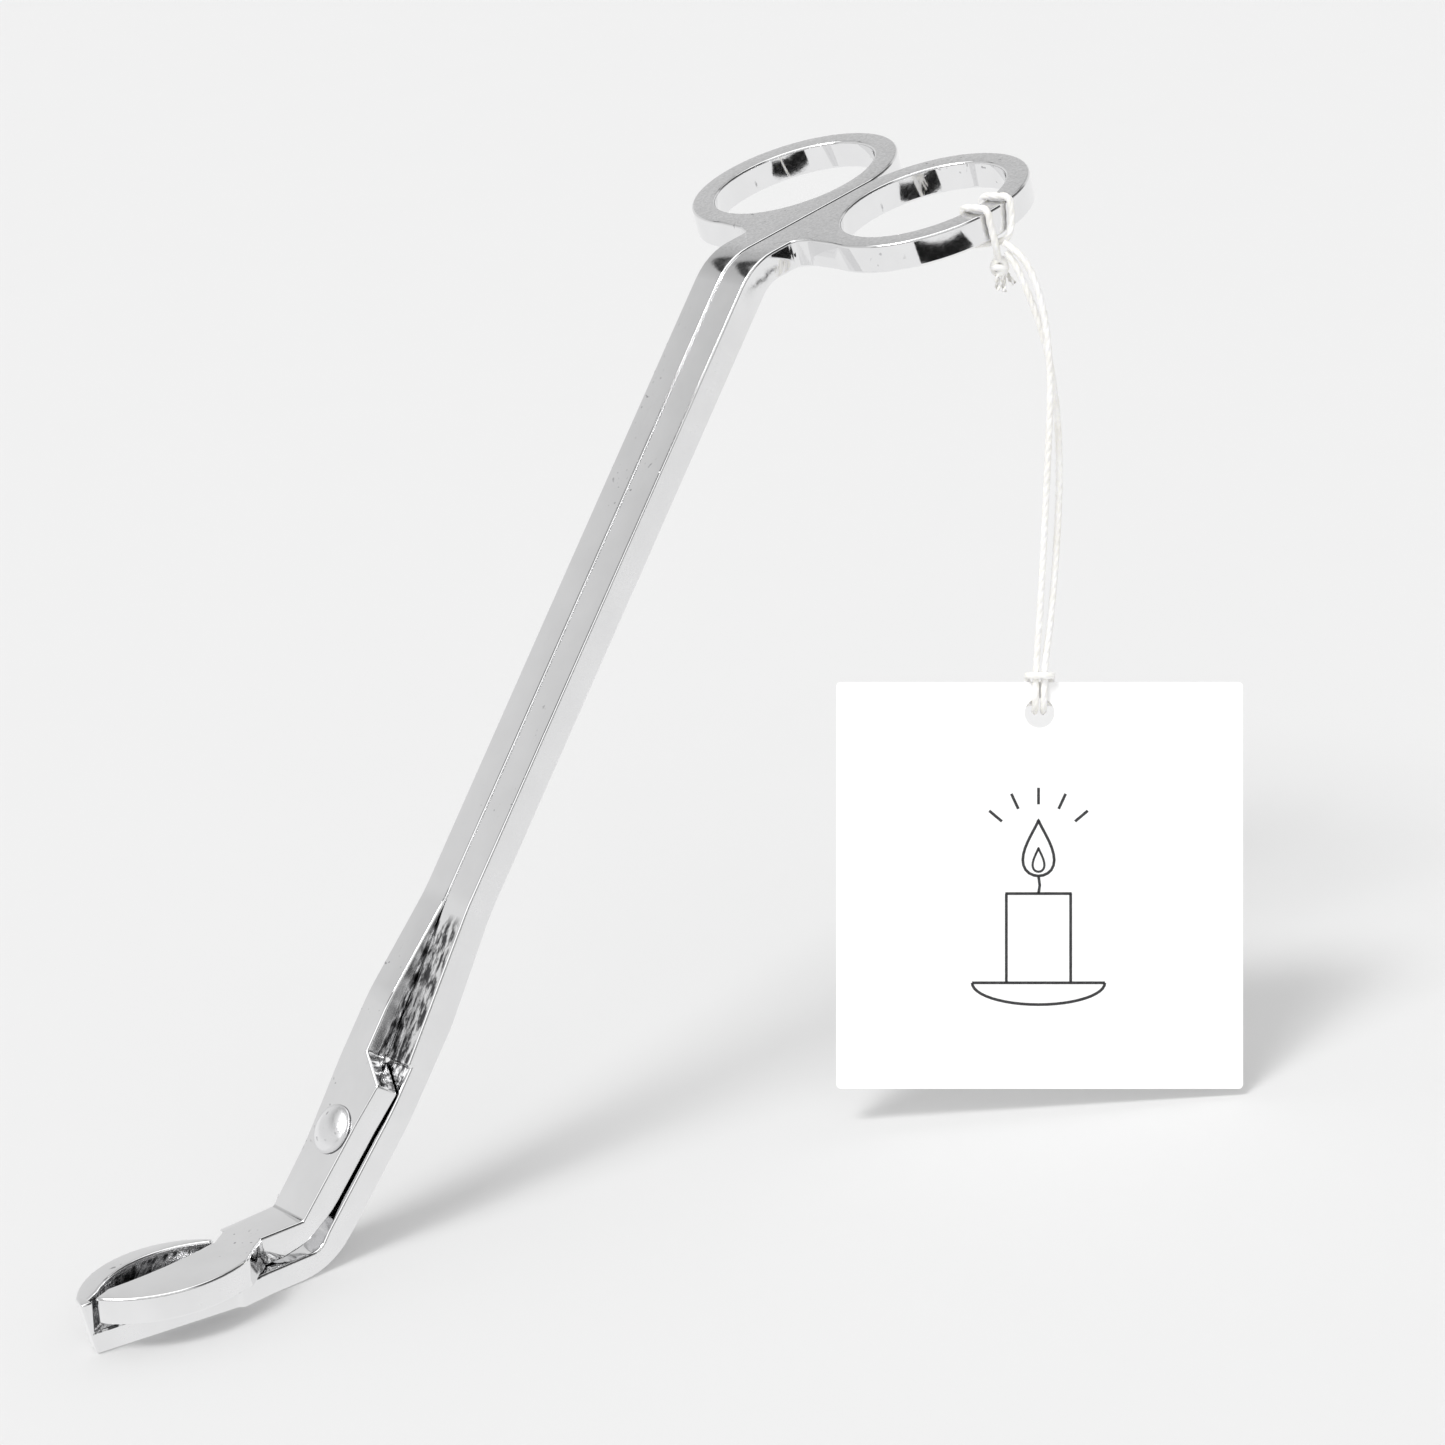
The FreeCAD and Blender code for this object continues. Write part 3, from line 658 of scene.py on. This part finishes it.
LEVER_GREY = (0.87, 0.87, 0.875)
RIVET_GREY = (0.88, 0.88, 0.89)
BLADE_STEEL = steel("blade_steel", LEVER_GREY, rough=0.055, brushing=0.5)
TRAY_STEEL = steel("tray_steel", LEVER_GREY, rough=0.055, brushing=0.5, well_share=1.0)
# the rivet has painted shade in the crease at its foot
RIVET_STEEL = steel("rivet_steel", RIVET_GREY, rough=0.24, brushing=0.2, crevice_shade=0.9)
CARD = card_material()
STRING = string_material()
INK = ink_material()

# ---- the CAD nodes' finish ----

EDGE_ROUND = {"blade_lever": 0.32, "tray_lever": 0.32, "pivot_rivet": 0.12, "tag_card": 0.05}
ROUND_STEPS = 3
SHARP_EDGE = math.radians(32)
JOIN_WITHIN = 0.002 * MM


def finish_node(name, material):
    """Gives a CAD node its material and small rounded edges, with its flat faces shaded flat."""
    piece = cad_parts[name]
    piece.data.materials.clear()
    piece.data.materials.append(material)
    for face in piece.data.polygons:
        face.use_smooth = True
    joined = piece.modifiers.new("joined_faces", "WELD")
    joined.merge_threshold = JOIN_WITHIN
    rounding = piece.modifiers.new("edge_round", "BEVEL")
    rounding.width = EDGE_ROUND[name] * MM
    rounding.segments = ROUND_STEPS
    rounding.limit_method = "ANGLE"
    rounding.angle_limit = SHARP_EDGE
    rounding.use_clamp_overlap = False
    rounding.loop_slide = False
    flatness = piece.modifiers.new("face_normals", "WEIGHTED_NORMAL")
    flatness.mode = "FACE_AREA"
    flatness.weight = 100
    flatness.keep_sharp = False


finish_node("blade_lever", BLADE_STEEL)
finish_node("tray_lever", TRAY_STEEL)
finish_node("pivot_rivet", RIVET_STEEL)
finish_node("tag_card", CARD)


# ---- the string ----


def lay_string(name, node, body, points):
    piece = twisted_string(name, points)
    piece.data.materials.append(STRING)
    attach(piece, body)
    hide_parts(node)
    return piece


hitch_line = spline_points("hitch_line", HITCH_ROUTE)
near_line = spline_points("near_line", NEAR_STRAND_ROUTE)
far_line = spline_points("far_line", FAR_STRAND_ROUTE)
band_line = spline_points("band_line", BAND_ROUTE)

hitch = lay_string("ring_wraps", "string_hitch", "tray_side", hitch_line)
near_strand = lay_string("strand_near", "string_near", "hang_tag", near_line)
far_strand = lay_string("strand_far", "string_far", "hang_tag", far_line)
band = lay_string("tag_loop", "tag_band", "hang_tag", band_line)


KNOT_TILTS = ((0, 18), (62, -35), (-58, 40))
KNOT_WIDE = 0.92
KNOT_TALL = 0.66
KNOT_WAVE = 0.18
KNOT_STEPS = 32
KNOT_PLY = 0.42
KNOT_WAVER = 0.03
TAIL_ROUTES = [
    [(0.4, -23.9, -5.9), (0.1, -24.05, -6.6), (0.0, -24.1, -7.5), (0.05, -24.1, -8.3)],
    [(0.9, -24.0, -6.0), (0.9, -24.2, -6.9), (1.0, -24.25, -7.8), (0.95, -24.2, -8.7)],
    [(1.3, -23.8, -5.9), (1.75, -23.9, -6.6), (2.2, -24.0, -7.4), (2.8, -24.05, -8.1)],
]
TAIL_PLY = 0.20
TAIL_OFFSET = 0.15
TAIL_PITCH = 1.6
TAIL_STEP = 0.15


def knot_loop(turn_y, turn_x):
    """One tilted, slightly waved loop of string about the knot's middle."""
    tilt_y = Matrix.Rotation(math.radians(turn_y), 3, "Y")
    tilt_x = Matrix.Rotation(math.radians(turn_x), 3, "X")
    ring = []
    for i in range(KNOT_STEPS + 1):
        angle = 2 * math.pi * i / KNOT_STEPS
        x = KNOT_WIDE * math.cos(angle)
        y = KNOT_TALL * math.sin(angle)
        z = KNOT_WAVE * math.sin(2 * angle)
        ring.append((KNOT_PLACE + tilt_y @ tilt_x @ Vector((x, y, z))) * MM)
    return ring


def knot_mesh():
    """An overhand knot pulled tight: crossing loops of string about its middle, and short tails.

    A tail's plies are half a turn apart, so its third ply lies on its first.
    """
    bm = bmesh.new()
    for turn_y, turn_x in KNOT_TILTS:
        frames = frames_along(knot_loop(turn_y, turn_x))
        add_ply(bm, frames, KNOT_PLY * MM, KNOT_WAVER * MM, 0, TWIST_PITCH * MM)
    for k, route in enumerate(TAIL_ROUTES):
        line = spline_points(f"tail_{k}", route)
        frames = frames_along(finer(line, TAIL_STEP * MM))
        for ply in range(PLIES):
            add_ply(bm, frames, TAIL_PLY * MM, TAIL_OFFSET * MM, ply * math.pi, TAIL_PITCH * MM)
    mesh = bpy.data.meshes.new("knot")
    bm.to_mesh(mesh)
    bm.free()
    for face in mesh.polygons:
        face.use_smooth = True
    return mesh


knot = link("string_knot_tied", knot_mesh())
knot.data.materials.append(STRING)
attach(knot, "tray_side")
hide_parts("string_knot")

# ---- the print on the tag: a plain candle on a saucer, with no lettering ----

PRINT_LIFT = CARD_FRONT + 0.012
INK_THICK = 0.02
MOTIF_MIDDLE = (-0.15, -23.4)
MOTIF_SCALE = 1.3
LINE_WIDE = 0.27


def print_point(x, y):
    across = MOTIF_MIDDLE[0] + MOTIF_SCALE * x
    return Vector(on_tag(across, MOTIF_MIDDLE[1] + MOTIF_SCALE * y, PRINT_LIFT)) * MM


def print_strip(bm, points, wide, closed=False):
    """A flat inked line through points of the motif."""
    spots = [Vector((x, y, 0)) for x, y in points]
    count = len(spots)
    left = []
    right = []
    for i, spot in enumerate(spots):
        before = spots[i - 1] if closed or i > 0 else spot
        after = spots[(i + 1) % count] if closed or i < count - 1 else spot
        ahead = (after - before).normalized()
        side = Vector((-ahead.y, ahead.x, 0)) * wide / 2
        left.append(bm.verts.new(print_point(*(spot + side).xy)))
        right.append(bm.verts.new(print_point(*(spot - side).xy)))
    last = count if closed else count - 1
    for i in range(last):
        n = (i + 1) % count
        bm.faces.new((right[i], right[n], left[n], left[i]))


FLAME_STEPS = 28
FLAME_PINCH = 0.75
FLAME_BELLY = 1.35


def flame_points(tall, wide, base):
    """A pointed drop, from its base round and back."""
    points = []
    for k in range(FLAME_STEPS):
        turn = 2 * math.pi * k / FLAME_STEPS
        rise = (1 - math.cos(turn)) / 2
        pinch = math.sin(turn) * (1 - rise) ** FLAME_PINCH * FLAME_BELLY
        points.append((wide * pinch, base + tall * rise))
    return points


CANDLE_HALF = 3.1
CANDLE_TOP = 0.6
CANDLE_FOOT = -8.0
LIP = 0.1
SAUCER = (6.4, 2.1)
SAUCER_STEPS = 24
WICK = [(0, CANDLE_TOP), (0.12, 1.4), (0, 2.3)]
OUTER_FLAME = (5.4, 1.6, 2.3)
INNER_FLAME = (2.3, 0.6, 2.7)
INNER_SHARE = 0.8
RAY_ANGLES = (40, 65, 90, 115, 140)
RAY_REACH = (4.6, 6.2)
FLAME_MIDDLE = 4.6


def saucer_point(step):
    """A point of the saucer's curved underside."""
    turn = math.pi * (1 + step / SAUCER_STEPS)
    return SAUCER[0] * math.cos(turn), CANDLE_FOOT + SAUCER[1] * math.sin(turn)


def ray_points(angle):
    way = math.cos(math.radians(angle)), math.sin(math.radians(angle))
    return [(reach * way[0], FLAME_MIDDLE + reach * way[1]) for reach in RAY_REACH]


def print_motif():
    bm = bmesh.new()
    for side in (-CANDLE_HALF, CANDLE_HALF):
        print_strip(bm, [(side, CANDLE_FOOT), (side, CANDLE_TOP)], LINE_WIDE)
    print_strip(bm, [(-CANDLE_HALF - LIP, CANDLE_TOP), (CANDLE_HALF + LIP, CANDLE_TOP)], LINE_WIDE)
    print_strip(bm, [(-SAUCER[0], CANDLE_FOOT), (SAUCER[0], CANDLE_FOOT)], LINE_WIDE)
    print_strip(bm, [saucer_point(step) for step in range(SAUCER_STEPS + 1)], LINE_WIDE)
    print_strip(bm, WICK, LINE_WIDE)
    print_strip(bm, flame_points(*OUTER_FLAME), LINE_WIDE, closed=True)
    print_strip(bm, flame_points(*INNER_FLAME), LINE_WIDE * INNER_SHARE, closed=True)
    for angle in RAY_ANGLES:
        print_strip(bm, ray_points(angle), LINE_WIDE)
    mesh = bpy.data.meshes.new("tag_print")
    bm.to_mesh(mesh)
    bm.free()
    return mesh


tag_print = link("tag_print", print_motif())
tag_print.data.materials.append(INK)
thickening = tag_print.modifiers.new("ink_film", "SOLIDIFY")
thickening.thickness = INK_THICK * MM
thickening.offset = 0
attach(tag_print, "hang_tag")

# ---- the stage: a pale floor and soft studio light ----


def flat_sheet(name, middle, across, deep, turn=None):
    mesh = bpy.data.meshes.new(name)
    x, y = across / 2, deep / 2
    mesh.from_pydata([(-x, -y, 0), (x, -y, 0), (x, y, 0), (-x, y, 0)], [], [(0, 1, 2, 3)])
    piece = link(name, mesh)
    piece.location = middle
    if turn is not None:
        piece.rotation_euler = turn
    return piece


FLOOR_WIDE = 8
FLOOR_GAP = 0.0001
FLAG_TONE = (0.01, 0.01, 0.01, 1)
FLAG_LEVEL = FLOOR_LEVEL + 0.001

floor = flat_sheet("floor", (0, 0, FLOOR_LEVEL - FLOOR_GAP), FLOOR_WIDE, FLOOR_WIDE)
floor.data.materials.append(floor_material())


def dark_card(name, place, across, deep, turn):
    """A black studio flag on the floor, which only reflections show."""
    piece = flat_sheet(name, (*place, FLAG_LEVEL), across, deep, (0, 0, math.radians(turn)))
    n = Nodes(name)
    n.uniform("Base Color", FLAG_TONE)
    n.uniform("Roughness", STAGE_ROUGH)
    n.uniform("Specular IOR Level", 0.0)
    piece.data.materials.append(n.material)
    piece.visible_camera = False
    piece.visible_diffuse = False
    piece.visible_shadow = False
    piece.visible_transmission = False


dark_card("flag_front", place=(-0.028, -0.265), across=0.250, deep=0.055, turn=-34.4)
dark_card("flag_elbow", place=(0.250, -0.332), across=0.012, deep=0.016, turn=38)


def sun(name, towards, strength, softness):
    """A sun that stands in the direction given; its softness is its width in degrees."""
    data = bpy.data.lights.new(name, "SUN")
    data.energy = strength
    data.angle = math.radians(softness)
    light = bpy.data.objects.new(name, data)
    bpy.context.scene.collection.objects.link(light)
    light.rotation_euler = Vector(towards).to_track_quat("Z", "Y").to_euler()
    return light


sun("key_light", towards=(-0.67, 0.02, 1.0), strength=0.72, softness=18)
sun("key_light_side", towards=(-0.62, -0.15, 1.0), strength=0.72, softness=18)
front_fill = sun("front_fill", towards=(-0.55, -0.8, 0.42), strength=0.45, softness=70)
front_fill.visible_glossy = False

# what the metal reflects, as (height, brightness): height is 0 at the horizon and 1 straight up

BACK_BANDS = [
    (0.00, 0.80),
    (0.36, 0.78),
    (0.46, 0.72),
    (0.54, 0.62),
    (0.640, 0.52),
    (0.647, 0.05),
    (0.67, 0.05),
    (0.68, 0.70),
    (0.84, 0.60),
    (0.86, 1.60),
    (1.00, 1.50),
]
FRONT_BANDS = [
    (0.00, 0.04),
    (0.10, 0.04),
    (0.13, 0.42),
    (0.40, 0.48),
    (0.44, 1.50),
    (0.62, 1.30),
    (0.66, 0.06),
    (0.84, 0.06),
    (0.87, 1.80),
    (1.00, 1.60),
]
SEAM_BANDS = [
    (0.00, 0.04),
    (0.10, 0.04),
    (0.13, 0.42),
    (0.30, 0.45),
    (0.36, 0.06),
    (0.88, 0.06),
    (0.92, 1.00),
]
EVEN_LIGHT = 0.72
BACK_FADE = (-0.05, 0.05)
SEAM_FADE = (0.10, 0.20)


def make_world():
    """Even light for the floor, and a striped studio for what the metal reflects."""
    world = bpy.data.worlds.new("studio")
    world.use_nodes = True
    bpy.context.scene.world = world
    tree = world.node_tree
    tree.nodes.clear()
    coordinate = tree.nodes.new("ShaderNodeTexCoord")
    split = tree.nodes.new("ShaderNodeSeparateXYZ")
    tree.links.new(coordinate.outputs["Generated"], split.inputs[0])

    def bands(stops):
        made = tree.nodes.new("ShaderNodeValToRGB")
        ramp = made.color_ramp
        ramp.interpolation = "LINEAR"
        while len(ramp.elements) < len(stops):
            ramp.elements.new(0.5)
        for element, (spot, level) in zip(ramp.elements, stops):
            element.position = spot
            element.color = (level, level, level, 1)
        tree.links.new(split.outputs["Z"], made.inputs["Fac"])
        return made.outputs["Color"]

    def fade(value, ends):
        made = tree.nodes.new("ShaderNodeMapRange")
        made.inputs["From Min"].default_value = ends[0]
        made.inputs["From Max"].default_value = ends[1]
        tree.links.new(value, made.inputs["Value"])
        return made.outputs[0]

    def mixed(share, first, second):
        made = tree.nodes.new("ShaderNodeMix")
        made.data_type = "RGBA"
        tree.links.new(share, made.inputs["Factor"])
        for socket, value in ((made.inputs["A"], first), (made.inputs["B"], second)):
            if isinstance(value, float):
                socket.default_value = (value, value, value, 1)
            else:
                tree.links.new(value, socket)
        return made.outputs["Result"]

    front = mixed(fade(split.outputs["X"], SEAM_FADE), bands(FRONT_BANDS), bands(SEAM_BANDS))
    seen = mixed(fade(split.outputs["Y"], BACK_FADE), front, bands(BACK_BANDS))
    path = tree.nodes.new("ShaderNodeLightPath")
    light = mixed(path.outputs["Is Glossy Ray"], EVEN_LIGHT, seen)
    background = tree.nodes.new("ShaderNodeBackground")
    tree.links.new(light, background.inputs["Color"])
    output = tree.nodes.new("ShaderNodeOutputWorld")
    tree.links.new(background.outputs[0], output.inputs["Surface"])


make_world()
